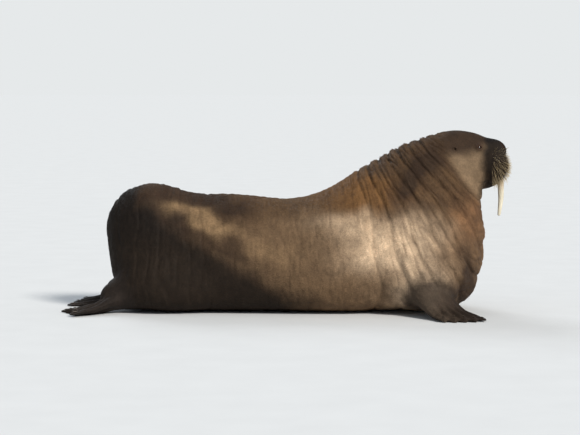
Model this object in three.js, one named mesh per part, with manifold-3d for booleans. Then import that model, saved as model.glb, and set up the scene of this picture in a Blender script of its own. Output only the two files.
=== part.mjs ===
// A walrus resting on its belly with its head raised, life-size.
// Millimetres, +X towards the head, +Y to the animal's left, +Z up, the belly's flat at z = 0.
// The flesh is one smooth field of blended ellipsoids. Closed meshes are wrapped onto it by
// rays, and are then parted into the named pieces by thin cuts.
import * as THREE from "three";
import { mergeVertices } from "three/addons/utils/BufferGeometryUtils.js";
import Module from "manifold-3d";

const wasm = await Module();
wasm.setup();

// Driving dimensions
const GAP = 0.4; // between two pieces that touch
const HEAD_AT = [1090, 0, 1075]; // the middle of the skull
const HEAD_YAW = -7; // degrees, a little towards the animal's right
const LIP_DROP = 160; // from the middle of the skull down to the upper lip's edge
const TUSK_LENGTH = 235; // below the lip
const TUSK_WIDTH = 46;
const EYE_RADIUS = 19;
const FOLD_PIVOT = [250, 1750]; // x and z of the line that the raised neck bends around
const FOLD_FIRST = -45; // degrees about that line, at the nape's first crease
const FOLD_STEP = -6.2;
const FOLD_COUNT = 7;
const FOLD_DEPTH = 17;
const FLOOR_SINK = 3; // the wrap goes this far below the floor, and is cut at it
const FLOOR_ROUND = 110; // how softly the flesh turns under where it rests
const DIGITS = 5; // on each flipper
const WHISKERS_A_SIDE = 72;
const WHISKER_ROOM = 7; // from a whisker to a tusk or the lower jaw
const SIDES = [
  ["right", -1],
  ["left", 1],
];

// Vectors and blends
const rad = THREE.MathUtils.degToRad;
const lerp = THREE.MathUtils.lerp;
const clamp = THREE.MathUtils.clamp;
const smooth = THREE.MathUtils.smoothstep;
const vec = (p) => new THREE.Vector3(...p);
const sided = ([x, y, z], side) => [x, side * y, z];

function smoothMin(a, b, reach) {
  const h = Math.max(reach - Math.abs(a - b), 0) / reach;
  return Math.min(a, b) - (h * h * reach) / 4;
}

const smoothMax = (a, b, reach) => -smoothMin(-a, -b, reach);

// A mass of flesh: an ellipsoid, how far it blends into the rest, and its pitch and yaw in degrees.
function mass(at, radii, blend, pitch = 0, yaw = 0) {
  const turn = new THREE.Euler(0, -rad(pitch), rad(yaw), "ZYX");
  const place = new THREE.Matrix4().makeRotationFromEuler(turn).setPosition(...at);
  return { place, inverse: place.clone().invert().elements, radii, blend };
}

// The mass and its twin on the other side.
function pair([x, y, z], radii, blend, pitch = 0, yaw = 0) {
  return [
    mass([x, y, z], radii, blend, pitch, yaw),
    mass([x, -y, z], radii, blend, pitch, -yaw),
  ];
}

// A point through the inverse of a placing.
const into = (m, x, y, z) => [
  m[0] * x + m[4] * y + m[8] * z + m[12],
  m[1] * x + m[5] * y + m[9] * z + m[13],
  m[2] * x + m[6] * y + m[10] * z + m[14],
];

function massDistance({ inverse, radii: [a, b, c] }, x, y, z) {
  const [u, v, w] = into(inverse, x, y, z);
  const near = Math.hypot(u / a, v / b, w / c);
  const slope = Math.hypot(u / (a * a), v / (b * b), w / (c * c));
  return slope > 0 ? (near * (near - 1)) / slope : -Math.min(a, b, c);
}

function blended(masses, x, y, z, start) {
  let d = start;
  for (const m of masses) d = smoothMin(d, massDistance(m, x, y, z), m.blend);
  return d;
}

// The body's masses: the trunk from the belly to both ends, the neck, the shoulders, the thighs
const BODY = [
  mass([-60, 0, 355], [680, 475, 440], 200),
  mass([-620, 0, 375], [540, 410, 458], 200),
  mass([-1040, 0, 395], [390, 310, 478], 160),
  mass([-1155, 0, 610], [290, 245, 285], 110),
  mass([420, 0, 425], [570, 490, 485], 200, 14),
  mass([740, 0, 470], [450, 455, 520], 170),
  mass([850, 0, 560], [395, 370, 440], 150),
  mass([860, 0, 270], [335, 385, 330], 130),
  mass([620, 0, 770], [485, 365, 335], 190, 31),
  mass([890, 0, 915], [335, 285, 325], 140, 25),
  ...pair([800, 345, 270], [285, 195, 240], 120, 20),
  ...pair([-960, 190, 200], [360, 215, 225], 120, 0, -8),
  ...pair([-1250, 165, 120], [240, 125, 135], 90, 0, -12),
];

// The head's masses, forward, left and up from HEAD_AT
const SKULL = [
  mass([-20, 0, 45], [205, 160, 163], 110),
  mass([110, 0, 5], [185, 132, 150], 80),
  ...pair([30, 80, -60], [170, 95, 135], 70),
  ...pair([108, 88, 92], [62, 50, 42], 40),
];
const SNOUT = [
  mass([222, 0, 66], [92, 92, 80], 45),
  ...pair([224, 80, -38], [104, 96, 126], 18, 0, 12),
];
const LOWER_JAW = mass([140, 0, -148], [135, 80, 66], 1, 8);

const headPlace = new THREE.Matrix4().makeRotationZ(rad(HEAD_YAW)).setPosition(...HEAD_AT);
const headInverse = headPlace.clone().invert().elements;
const headPoint = (p) => vec(p).applyMatrix4(headPlace);
const headDirection = (p) => vec(p).transformDirection(headPlace);

// How deep the creases round the raised neck press in at a point.
function creaseDepth(x, y, z) {
  const angle = Math.atan2(z - FOLD_PIVOT[1], x - FOLD_PIVOT[0]);
  const waver = 0.22 * Math.sin(y / 120) + 0.12 * Math.sin(z / 95);
  const turn = (THREE.MathUtils.radToDeg(angle) - FOLD_FIRST) / FOLD_STEP + waver;
  const within = smooth(turn, -0.5, 0.2) * (1 - smooth(turn, FOLD_COUNT - 1.4, FOLD_COUNT));
  const valley = Math.pow(1 - Math.abs(Math.sin(Math.PI * turn)), 2);
  return FOLD_DEPTH * within * valley;
}

// Distance from the flesh: negative inside. The floor flattens what rests on it.
function flesh(x, y, z) {
  const first = massDistance(BODY[0], x, y, z);
  const body = blended(BODY.slice(1), x, y, z, first);
  const inHead = into(headInverse, x, y, z);
  const whole = blended(SNOUT, ...inHead, blended(SKULL, ...inHead, body));
  return smoothMax(whole + creaseDepth(x, y, z), -FLOOR_SINK - z, FLOOR_ROUND);
}

// How far a ray from a point inside goes until it is grown outside the flesh.
const RAY_STEP = 4; // the least step
const RAY_HALVINGS = 14; // how often the last step is halved
function rayReach(from, along, grown, limit) {
  const at = (t) =>
    flesh(from.x + along.x * t, from.y + along.y * t, from.z + along.z * t) - grown;
  let low = 0;
  let high = 0;
  for (let d = at(0); d < 0 && high < limit; d = at(high)) {
    low = high;
    high += Math.max(-0.6 * d, RAY_STEP);
  }
  if (high >= limit) return limit;
  for (let i = 0; i < RAY_HALVINGS; i++) {
    const middle = (low + high) / 2;
    if (at(middle) < 0) low = middle;
    else high = middle;
  }
  return high;
}

// The point of the skin that a direction in the head meets.
const SKIN_LIMIT = 400;
function onSkin(inner, towards, outwards = 0) {
  const from = headPoint(inner);
  const along = headDirection(towards);
  const reach = rayReach(from, along, 0, SKIN_LIMIT) + outwards;
  return { at: from.addScaledVector(along, reach), along };
}

// Solids
const manifold = (vertProperties, triangles) =>
  new wasm.Manifold(
    new wasm.Mesh({ numProp: 3, vertProperties, triVerts: new Uint32Array(triangles) }),
  );

// The closed solid of a geometry, turned right side out if a mirror turned it.
function solid(geometry) {
  const bare = geometry.clone();
  for (const name of Object.keys(bare.attributes))
    if (name !== "position") bare.deleteAttribute(name);
  const merged = mergeVertices(bare, 1e-3);
  const kept = [];
  const index = merged.index.array;
  for (let i = 0; i < index.length; i += 3) {
    const [a, b, c] = [index[i], index[i + 1], index[i + 2]];
    if (a !== b && b !== c && a !== c) kept.push(a, b, c);
  }
  const places = merged.attributes.position.array;
  const made = manifold(places, kept);
  return made.volume() < 0 ? manifold(places, kept.reverse()) : made;
}

const largest = (whole) => whole.decompose().sort((a, b) => b.volume() - a.volume())[0];

// A geometry's copy, its z axis turned to a direction, at a place.
const moved = (geometry, { at, along }) =>
  geometry
    .clone()
    .applyQuaternion(
      new THREE.Quaternion().setFromUnitVectors(new THREE.Vector3(0, 0, 1), along),
    )
    .translate(at.x, at.y, at.z);

// Everything on the far side of a plane, as a block.
const BLOCK = 6000;
const beyond = (plane) =>
  solid(moved(new THREE.BoxGeometry(BLOCK, BLOCK, BLOCK).translate(0, 0, BLOCK / 2), plane));

// Moves each vertex of a geometry to where a function puts it.
function reshape(geometry, place) {
  const position = geometry.attributes.position;
  const p = new THREE.Vector3();
  for (let i = 0; i < position.count; i++) {
    const to = place(p.fromBufferAttribute(position, i));
    position.setXYZ(i, to.x, to.y, to.z);
  }
  return geometry;
}

// The line inside the body that the body's wrap shoots its rays from
const SPINE = new THREE.CatmullRomCurve3(
  [
    [-1120, 0, 400],
    [-760, 0, 390],
    [-380, 0, 380],
    [0, 0, 380],
    [300, 0, 410],
    [520, 0, 480],
    [680, 0, 590],
    [800, 0, 715],
    [890, 0, 840],
    [960, 0, 960],
  ].map(vec),
);
const SPINE_RINGS = 46;
const RING_SIDES = 36;
const CAP_RINGS = 6;
const BODY_LIMIT = 1400;

function wrapBody(grown) {
  const half = 5;
  const tube = new THREE.CapsuleGeometry(1, 2 * half, CAP_RINGS, RING_SIDES, SPINE_RINGS);
  const side = new THREE.Vector3(0, 1, 0);
  return solid(
    reshape(tube, (p) => {
      const t = clamp(p.y / (2 * half) + 0.5, 0, 1);
      const from = SPINE.getPoint(t);
      const tangent = SPINE.getTangent(t);
      const up = new THREE.Vector3().crossVectors(tangent, side);
      const along = new THREE.Vector3()
        .addScaledVector(tangent, p.y - clamp(p.y, -half, half))
        .addScaledVector(side, p.x)
        .addScaledVector(up, -p.z)
        .normalize();
      return from.addScaledVector(along, rayReach(from, along, grown, BODY_LIMIT));
    }),
  );
}

const HEAD_DETAIL = 11;
const HEAD_LIMIT = 520;

function wrapHead(grown) {
  const centre = headPoint([95, 0, 0]);
  return solid(
    reshape(new THREE.IcosahedronGeometry(1, HEAD_DETAIL), (p) =>
      centre.clone().addScaledVector(p, rayReach(centre, p, grown, HEAD_LIMIT)),
    ),
  );
}

// A round rod along a curve, its radius given at each share of the curve.
function rod(curve, radiusAt, sides, steps) {
  const capsule = new THREE.CapsuleGeometry(1, 1, 3, sides, steps);
  const frames = curve.computeFrenetFrames(steps, false);
  return reshape(capsule, (p) => {
    const t = clamp(p.y + 0.5, 0, 1);
    const at = Math.round(t * steps);
    const radius = radiusAt(t);
    return curve
      .getPointAt(t)
      .addScaledVector(frames.tangents[at], (p.y - clamp(p.y, -0.5, 0.5)) * radius)
      .addScaledVector(frames.normals[at], p.x * radius)
      .addScaledVector(frames.binormals[at], -p.z * radius);
  });
}

// A spike along a curve: few sides, thick at its root and pointed at its tip.
function spike(curve, width, height, sides) {
  const cone = new THREE.CylinderGeometry(0, 1, 2, sides, 2);
  const along = curve.getPoint(1).sub(curve.getPoint(0)).normalize();
  const across = new THREE.Vector3(0, 0, 1).cross(along).normalize();
  const over = new THREE.Vector3().crossVectors(along, across);
  return solid(
    reshape(cone, (p) =>
      curve
        .getPoint((p.y + 1) / 2)
        .addScaledVector(across, p.x * width)
        .addScaledVector(over, p.z * height),
    ),
  );
}

// Eyes stand a third of their radius out of the head, in a ring of lids.
const EYE_INNER = [75, 30, 72];
const EYE_LOOK = [0.42, 1, 0.16];
const EYE_SUNK = 0.66 * EYE_RADIUS;
const LID_THICK = 8;
const LID_OUT = 5; // further out than the eye's middle
const eyePlace = (side, outwards) =>
  onSkin(sided(EYE_INNER, side), sided(EYE_LOOK, side), outwards - EYE_SUNK);

const eyeBall = (side, grown) =>
  solid(moved(new THREE.SphereGeometry(EYE_RADIUS + grown, 12, 8), eyePlace(side, 0)));

function lids(side) {
  const ring = new THREE.TorusGeometry(EYE_RADIUS + 3, LID_THICK, 5, 13).scale(1.2, 0.86, 1);
  return solid(moved(ring, eyePlace(side, LID_OUT)));
}

// An ear is a small hole with a low rim, and no flap.
const EAR_RADIUS = 13;
const earPlace = (side) => onSkin([-20, 0, 60], [-0.12, side, 0.1]);

function earRim(side) {
  const ring = new THREE.TorusGeometry(EAR_RADIUS, 5, 4, 10).scale(0.8, 1.3, 1);
  return solid(moved(ring, earPlace(side)));
}

function earHole(side) {
  const pit = new THREE.CylinderGeometry(8, 3, 30, 7).rotateX(Math.PI / 2);
  return solid(moved(pit, earPlace(side)));
}

// The mouth's corner runs back from under the pad into the cheek: directions to it on the skin.
const MOUTH_INNER = [90, 0, -70];
const MOUTH_LINE = [
  [0.75, 0.8, -0.64],
  [0.35, 1, -0.66],
  [0.02, 1, -0.5],
];

function mouthCorner(side) {
  const points = MOUTH_LINE.map((towards) => onSkin(MOUTH_INNER, sided(towards, side)).at);
  return solid(rod(new THREE.CatmullRomCurve3(points), (t) => 11 - 6 * t, 6, 6));
}

// A crescent slot in the nose's front, its hollow side facing the other one: across and up.
const NOSE_INNER = 200; // how far forward the rays to the slot start
const NOSTRIL = [
  [15, 62],
  [42, 94],
  [27, 132],
];

function nostril(side) {
  const points = NOSTRIL.map(([y, z]) => onSkin([NOSE_INNER, side * y, z], [1, 0, 0]).at);
  const slot = rod(new THREE.CatmullRomCurve3(points), (t) => 4 + 5 * Math.sin(Math.PI * t), 5, 6);
  return solid(slot);
}

// A tusk runs from inside the pad past the lip, bending back and out a little.
const TUSK = [
  [256, 60, -90],
  [272, 65, -LIP_DROP],
  [276, 71, -LIP_DROP - TUSK_LENGTH / 2],
  [264, 80, -LIP_DROP - TUSK_LENGTH],
];
const tuskCurve = (side) =>
  new THREE.CatmullRomCurve3(TUSK.map((p) => headPoint(sided(p, side))));
const tuskRadius = (t) => (TUSK_WIDTH / 2) * (1 - 0.55 * Math.pow(t, 2.2));
const tusk = (side, grown) =>
  solid(rod(tuskCurve(side), (t) => grown + tuskRadius(t), 10, 9));

// Whether a whisker's points all stand clear of the tusks and the lower jaw.
const tuskMiddles = SIDES.flatMap(([, side]) => tuskCurve(side).getPoints(24));
const standsClear = (points) =>
  points.every(
    (p) =>
      massDistance(LOWER_JAW, ...into(headInverse, p.x, p.y, p.z)) > WHISKER_ROOM &&
      tuskMiddles.every((m) => m.distanceTo(p) > TUSK_WIDTH / 2 + WHISKER_ROOM),
  );

// Whiskers all over a pad, short at its front and long at its side, drooping at their tips.
const GOLDEN_TURN = rad(137.508);
const PAD_MIDDLE = [205, 62, -30];
const PAD_TOP = 78; // no whisker roots higher than this above the middle of the skull
const WHISKER_ROOT = 9; // sunk into the pad
const WHISKER_RADIUS = 1.9;
const WHISKER_FRONT = 42; // lengths
const WHISKER_SIDE = 95;

function whiskers(side) {
  const spikes = [];
  const top = HEAD_AT[2] + PAD_TOP;
  const droop = headDirection([0.25, side * 0.12, -1]);
  for (let i = 0; i < WHISKERS_A_SIDE; i++) {
    const tilt = Math.acos(1 - (1.02 * (i + 0.5)) / WHISKERS_A_SIDE);
    const out = Math.sin(tilt) * Math.cos(i * GOLDEN_TURN);
    const lift = Math.sin(tilt) * Math.sin(i * GOLDEN_TURN);
    const towards = [Math.cos(tilt) + 0.1, side * (out * 0.85 + 0.42), lift * 0.9 - 0.22];
    const { at: root, along } = onSkin(sided(PAD_MIDDLE, side), towards, -WHISKER_ROOT);
    const vary = 0.85 + 0.3 * ((i * 0.618) % 1);
    const length = lerp(WHISKER_FRONT, WHISKER_SIDE, smooth(out, -0.2, 0.9)) * vary;
    const on = (ahead, down) =>
      root
        .clone()
        .addScaledVector(along, length * ahead)
        .addScaledVector(droop, length * down);
    const curve = new THREE.QuadraticBezierCurve3(root, on(0.55, 0.12), on(0.85, 0.5));
    if (root.z < top && standsClear(curve.getPoints(6)))
      spikes.push(spike(curve, WHISKER_RADIUS, WHISKER_RADIUS, 3));
  }
  return spikes;
}

// A value from a list of evenly spaced ones.
function sampled(list, t) {
  const at = clamp(t, 0, 1) * (list.length - 1);
  const i = Math.min(Math.floor(at), list.length - 2);
  return lerp(list[i], list[i + 1], at - i);
}

// A flipper's plate follows a path. Its digits are ridges that end at a scalloped margin.
// across runs from -1 at one edge to 1 at the other, over from -1 below to 1 above.
function flipperPlace({ path, wide, widths, thicks, reaches }) {
  const curve = new THREE.CatmullRomCurve3(path.map(vec));
  return (share, across, over) => {
    const digit = Math.pow(Math.cos((across * DIGITS * Math.PI) / 2), 2);
    const t = share * sampled(reaches, (across + 1) / 2) * (0.95 + 0.05 * digit);
    const tangent = curve.getTangent(t);
    const sideways = vec(wide).projectOnPlane(tangent).normalize();
    const up = new THREE.Vector3().crossVectors(tangent, sideways);
    if (up.z < 0) up.negate();
    const rounded = Math.max(Math.sqrt(1 - across * across), 0.22);
    const ridge = 1 + 0.5 * smooth(t, 0.35, 0.7) * (digit - 0.5);
    const thinned = 1 - 0.45 * smooth(t, 0.85, 1);
    return curve
      .getPoint(t)
      .addScaledVector(sideways, across * sampled(widths, t))
      .addScaledVector(up, over * sampled(thicks, t) * rounded * ridge * thinned);
  };
}

// The plate with a claw on each digit, a little back from the margin.
function flipper(shape) {
  const place = flipperPlace(shape);
  const plate = new THREE.BoxGeometry(1, 2, 2, 12, 3 * DIGITS, 1);
  let whole = solid(reshape(plate, (p) => place(p.x + 0.5, p.y, p.z)));
  for (let i = 0; i < DIGITS; i++) {
    const across = (2 * i + 1) / DIGITS - 1;
    const root = place(0.9, across, 0.6);
    const middle = place(0.935, across, 1.25);
    const tip = place(0.965, across, 1.15);
    const curve = new THREE.QuadraticBezierCurve3(root, middle, tip);
    whole = whole.add(spike(curve, shape.claw, shape.claw * 0.7, 4));
  }
  return whole;
}

const foreFlipper = (side) =>
  flipper({
    path: [
      [740, side * 340, 190],
      [835, side * 460, 140],
      [905, side * 550, 78],
      [960, side * 625, 38],
      [1015, side * 720, 23],
      [1065, side * 830, 15],
    ],
    wide: [1, side * -0.45, 0],
    widths: [120, 132, 138, 144, 162, 178],
    thicks: [120, 98, 66, 40, 27, 17],
    reaches: [0.84, 0.92, 0.98, 1],
    claw: 5,
  });

const hindFlipper = (side) =>
  flipper({
    path: [
      [-1180, side * 160, 150],
      [-1300, side * 190, 115],
      [-1400, side * 225, 74],
      [-1500, side * 265, 40],
      [-1620, side * 310, 23],
      [-1735, side * 345, 14],
    ],
    wide: [-0.3, side, 0],
    widths: [95, 100, 108, 124, 160, 200],
    thicks: [105, 84, 60, 37, 24, 14],
    reaches: [1, 0.95, 0.9, 0.93, 1],
    claw: 6,
  });

// Planes that part the flesh into its pieces
const planeAt = (at, along) => ({ at, along: along.normalize() });
const floor = planeAt(vec([0, 0, 0]), vec([0, 0, -1]));
const loins = planeAt(vec([-760, 0, 0]), vec([1, 0, 0]));
const neckBase = planeAt(vec([640, 0, 800]), vec([0.7, 0, 0.72]));
const skullBase = planeAt(vec([1040, 0, 1005]), headDirection([0.78, 0, 0.63]));
const snoutBase = planeAt(headPoint([180, 0, 0]), headDirection([1, 0, 0]));

// What is ahead of a plane or behind it, less half the gap.
const shifted = ({ at, along }, by) => ({ at: at.clone().addScaledVector(along, by), along });
const ahead = (whole, plane) => whole.intersect(beyond(shifted(plane, GAP / 2)));
const behind = (whole, plane) => whole.subtract(beyond(shifted(plane, -GAP / 2)));

const bodyWrap = wrapBody(0).subtract(beyond(floor));
const bodyRoom = wrapBody(GAP);
const headWrap = wrapHead(0);
const headRoom = wrapHead(GAP);

function headSolid() {
  let whole = behind(ahead(headWrap, skullBase), snoutBase);
  for (const [, side] of SIDES)
    whole = whole
      .add(lids(side))
      .add(earRim(side))
      .subtract(eyeBall(side, GAP))
      .subtract(earHole(side))
      .subtract(mouthCorner(side));
  return largest(whole);
}

function muzzleSolid() {
  let whole = ahead(headWrap, snoutBase);
  for (const [, side] of SIDES)
    whole = whole.subtract(nostril(side)).subtract(tusk(side, GAP)).subtract(mouthCorner(side));
  for (const [, side] of SIDES)
    for (const whisker of whiskers(side)) whole = whole.add(whisker);
  return largest(whole);
}

function jawSolid() {
  const ball = new THREE.IcosahedronGeometry(1, 6).scale(...LOWER_JAW.radii);
  let whole = solid(ball.applyMatrix4(LOWER_JAW.place).applyMatrix4(headPlace));
  whole = whole.subtract(headRoom).subtract(bodyRoom);
  for (const [, side] of SIDES) whole = whole.subtract(tusk(side, GAP));
  return largest(whole);
}

function tailSolid() {
  const lobe = new THREE.SphereGeometry(1, 12, 10)
    .scale(95, 58, 26)
    .rotateY(rad(-24))
    .translate(-1400, 0, 140);
  return largest(solid(lobe).subtract(bodyRoom));
}

const limb = (whole) => largest(whole.subtract(beyond(floor)).subtract(bodyRoom));

// The pieces, with their colours
const finish = {
  skin: { color: 0x7d6450, roughness: 0.8 },
  dark: { color: 0x4a3f38, roughness: 0.75 },
  pad: { color: 0x8a7260, roughness: 0.7 },
  ivory: { color: 0xe6dcc0, roughness: 0.4 },
  eye: { color: 0x1b120d, roughness: 0.15 },
};

const walrus = new THREE.Group();

function piece(name, look, whole) {
  const { vertProperties, triVerts, numProp, numVert } = whole.getMesh();
  const position = new Float32Array(numVert * 3);
  for (let i = 0; i < numVert; i++)
    position.set(vertProperties.subarray(i * numProp, i * numProp + 3), i * 3);
  const geometry = new THREE.BufferGeometry()
    .setAttribute("position", new THREE.BufferAttribute(position, 3))
    .setIndex(new THREE.BufferAttribute(triVerts, 1));
  geometry.computeVertexNormals();
  const material = new THREE.MeshStandardMaterial({ ...finish[look], metalness: 0 });
  const mesh = new THREE.Mesh(geometry, material);
  mesh.name = name;
  walrus.add(mesh);
}

const trunk = behind(bodyWrap, neckBase);
piece("hindquarters", "dark", largest(behind(trunk, loins)));
piece("torso", "skin", largest(ahead(trunk, loins)));
piece("neck", "skin", largest(behind(ahead(bodyWrap, neckBase), skullBase)));
piece("head", "skin", headSolid());
piece("muzzle", "pad", muzzleSolid());
piece("lower_jaw", "pad", jawSolid());
piece("tail", "dark", tailSolid());
for (const [word, side] of SIDES) {
  piece(`eye_${word}`, "eye", eyeBall(side, 0));
  piece(`tusk_${word}`, "ivory", tusk(side, 0));
  piece(`fore_flipper_${word}`, "dark", limb(foreFlipper(side)));
  piece(`hind_flipper_${word}`, "dark", limb(hindFlipper(side)));
}

export default walrus;
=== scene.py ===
# A life-size walrus at rest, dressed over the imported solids.
# The flesh is a field in millimetres, with the same named masses as the solids. Meshes are
# turned into metres where they are made.
import math

import bpy
import numpy as np
import openvdb
from mathutils import Euler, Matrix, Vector


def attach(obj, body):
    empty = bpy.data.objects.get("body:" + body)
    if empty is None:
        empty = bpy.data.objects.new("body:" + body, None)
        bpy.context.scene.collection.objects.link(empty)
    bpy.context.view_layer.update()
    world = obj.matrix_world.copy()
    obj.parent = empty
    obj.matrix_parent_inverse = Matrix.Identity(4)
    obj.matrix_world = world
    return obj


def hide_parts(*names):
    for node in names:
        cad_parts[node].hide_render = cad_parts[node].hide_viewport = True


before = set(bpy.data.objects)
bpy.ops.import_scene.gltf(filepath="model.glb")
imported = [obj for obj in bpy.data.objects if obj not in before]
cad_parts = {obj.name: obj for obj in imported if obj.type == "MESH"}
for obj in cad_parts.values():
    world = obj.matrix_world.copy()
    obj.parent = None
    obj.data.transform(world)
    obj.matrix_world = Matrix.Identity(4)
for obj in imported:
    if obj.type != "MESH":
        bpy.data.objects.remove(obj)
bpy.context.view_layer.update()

# Sizes in millimetres, angles in degrees, and counts
MM = 0.001
COAT_DEPTH = 3  # the skin lies this far inside the solids
HEAD_AT = (1090, 0, 1075)
HEAD_YAW = -7
LIP_DROP = 160
TUSK_LENGTH = 235
TUSK_WIDTH = 46
EYE_RADIUS = 19
FOLD_PIVOT = (250, 1750)
FOLD_FIRST = -45
FOLD_STEP = -6.2
FOLD_COUNT = 7
FOLD_DEPTH = 17
FLOOR_SINK = 3
FLOOR_ROUND = 110
DIGITS = 5
WHISKERS_A_SIDE = 330
PAD_TOP = 78  # no whisker roots higher than this above the middle of the skull
SIDES = {"right": -1, "left": 1}
rng = np.random.default_rng(7)


# Blends
def smooth_min(a, b, reach):
    h = np.maximum(reach - np.abs(a - b), 0) / reach
    return np.minimum(a, b) - h * h * reach / 4


def smooth_max(a, b, reach):
    return -smooth_min(-a, -b, reach)


def ramp(x, low, high):
    """0 below low, 1 above high, and smooth between."""
    t = np.clip((x - low) / (high - low), 0, 1)
    return t * t * (3 - 2 * t)


def dot(a, b):
    return np.einsum("ij,ij->i", a, b)


def length(v):
    return np.sqrt(dot(v, v))


def unit(v):
    return v / np.maximum(length(v), 1e-9)[:, None]


def mix(a, b, t):
    return a + (b - a) * t


# Noise
SCATTER = (73856093, 19349663, 83492791, 2654435761)  # large odd numbers, one for each input
SCRAMBLE = 1274126177


def hashed(i, j, k, salt):
    """A number from 0 to 1 for each whole-numbered cell."""
    n = (i * SCATTER[0]) ^ (j * SCATTER[1]) ^ (k * SCATTER[2]) ^ (salt * SCATTER[3])
    n = ((n ^ (n >> 13)) * SCRAMBLE) & 0x7FFFFFFF
    return ((n ^ (n >> 16)) & 0xFFFF) / 0xFFFF


def noise(p, salt):
    """Smooth noise from 0 to 1 over cells of size one."""
    cell = np.floor(p).astype(np.int64)
    f = p - cell
    f = f * f * f * (f * (f * 6 - 15) + 10)
    total = 0
    for corner in range(8):
        on = [(corner >> axis) & 1 for axis in range(3)]
        weight = 1
        for axis in range(3):
            weight = weight * (f[:, axis] if on[axis] else 1 - f[:, axis])
        total = total + weight * hashed(*(cell + on).T, salt)
    return total


def cloudy(p, octaves, salt):
    """Noise in octaves, from 0 to 1."""
    total = sum(noise(p * 2**n, salt + n) / 2**n for n in range(octaves))
    return total / (2 - 2 / 2**octaves)


def astray(points, far, cell, octaves, salts):
    """How far each point strays along each axis."""
    return far * (np.stack([cloudy(points / cell, octaves, salt) for salt in salts], 1) - 0.5)


def creased(p, salt):
    """1 along thin winding lines, and falling to 0 between them."""
    return np.maximum(1 - 5 * np.abs(cloudy(p, 2, salt) - 0.5), 0) ** 1.5


def knobbed(p, salt):
    """Round knobs, one to a cell at most: 1 on top of each."""
    cell = np.floor(p).astype(np.int64)
    best = np.zeros(len(p))
    for step in np.ndindex(3, 3, 3):
        there = cell + np.array(step) - 1
        jitter = np.stack([hashed(*there.T, salt + n) for n in range(3)], 1)
        size = 0.15 + 0.35 * hashed(*there.T, salt + 3)
        away = length(there + jitter - p)
        best = np.maximum(best, 1 - ramp(away / size, 0, 1))
    return best


# The flesh
def mass(at, radii, blend, pitch=0, yaw=0):
    turn = Euler((0, -math.radians(pitch), math.radians(yaw))).to_matrix()
    return np.array(at, float), np.array(turn), np.array(radii, float), blend


def pair(at, radii, blend, pitch=0, yaw=0):
    x, y, z = at
    return [mass((x, s * y, z), radii, blend, pitch, s * yaw) for s in (1, -1)]


def mass_distance(one, points):
    at, turn, radii, _ = one
    own = (points - at) @ turn / radii
    near = length(own)
    return near * (near - 1) / np.maximum(length(own / radii), 1e-9)


def blended(masses, points, start):
    for one in masses:
        start = smooth_min(start, mass_distance(one, points), one[3])
    return start


BODY = [
    mass((-60, 0, 355), (680, 475, 440), 200),
    mass((-620, 0, 375), (540, 410, 458), 200),
    mass((-1040, 0, 395), (390, 310, 478), 160),
    mass((-1155, 0, 610), (290, 245, 285), 110),
    mass((420, 0, 425), (570, 490, 485), 200, 14),
    mass((740, 0, 470), (450, 455, 520), 170),
    mass((850, 0, 560), (395, 370, 440), 150),
    mass((860, 0, 270), (335, 385, 330), 130),
    mass((620, 0, 770), (485, 365, 335), 190, 31),
    mass((890, 0, 915), (335, 285, 325), 140, 25),
    *pair((800, 345, 270), (285, 195, 240), 120, 20),
    *pair((-960, 190, 200), (360, 215, 225), 120, 0, -8),
    *pair((-1250, 165, 120), (240, 125, 135), 90, 0, -12),
]
SKULL = [
    mass((-20, 0, 45), (205, 160, 163), 110),
    mass((110, 0, 5), (185, 132, 150), 80),
    *pair((30, 80, -60), (170, 95, 135), 70),
    *pair((108, 88, 92), (62, 50, 42), 40),
]
SNOUT = [
    mass((222, 0, 66), (92, 92, 80), 45),
    *pair((224, 80, -38), (104, 96, 126), 18, 0, 12),
]
LOWER_JAW = mass((140, 0, -148), (135, 80, 66), 1, 8)
TAIL = mass((-1400, 0, 140), (95, 58, 26), 14, 24)

HEAD_TURN = np.array(Euler((0, 0, math.radians(HEAD_YAW))).to_matrix())


def to_head(points):
    return (points - HEAD_AT) @ HEAD_TURN


def from_head(points):
    return np.atleast_2d(points) @ HEAD_TURN.T + HEAD_AT


def direction(v):
    return unit(np.atleast_2d(v) @ HEAD_TURN.T)


def wave(values, height, reach):
    return height * np.sin(values / reach)


def crease_turn(points):
    """Which crease round the raised neck a point is at: whole numbers are the valleys."""
    x, y, z = points.T
    angle = np.degrees(np.arctan2(z - FOLD_PIVOT[1], x - FOLD_PIVOT[0]))
    turn = (angle - FOLD_FIRST) / FOLD_STEP
    return turn + wave(y, height=0.22, reach=120) + wave(z, height=0.12, reach=95)


def crease_depth(points):
    turn = crease_turn(points)
    within = ramp(turn, -0.5, 0.2) * (1 - ramp(turn, FOLD_COUNT - 1.4, FOLD_COUNT))
    return FOLD_DEPTH * within * (1 - np.abs(np.sin(np.pi * turn))) ** 2


def flesh(points):
    """Distance from the solids' flesh, without its flippers: negative inside."""
    own = to_head(points)
    whole = blended(BODY[1:], points, mass_distance(BODY[0], points))
    whole = blended(SNOUT, own, blended(SKULL, own, whole))
    return smooth_max(whole + crease_depth(points), -FLOOR_SINK - points[:, 2], FLOOR_ROUND)


def ray_reach(start, along, limit=400, steps=100, halvings=14):
    """How far each ray goes from inside the flesh to its surface."""
    low = np.zeros(len(start))
    high = low.copy()
    for _ in range(steps):
        d = flesh(start + along * high[:, None])
        inside = (d < 0) & (high < limit)
        if not inside.any():
            break
        low = np.where(inside, high, low)
        high = np.where(inside, high + np.maximum(-0.6 * d, 4), high)
    for _ in range(halvings):
        middle = (low + high) / 2
        inside = flesh(start + along * middle[:, None]) < 0
        low = np.where(inside, middle, low)
        high = np.where(inside, high, middle)
    return high


def on_skin(inner, towards, outwards=0):
    """Where directions from points in the head meet the flesh, and those directions."""
    towards = direction(towards)
    start = np.broadcast_to(from_head(inner), towards.shape)
    far = ray_reach(start, towards) + outwards
    return start + towards * far[:, None], towards


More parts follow.
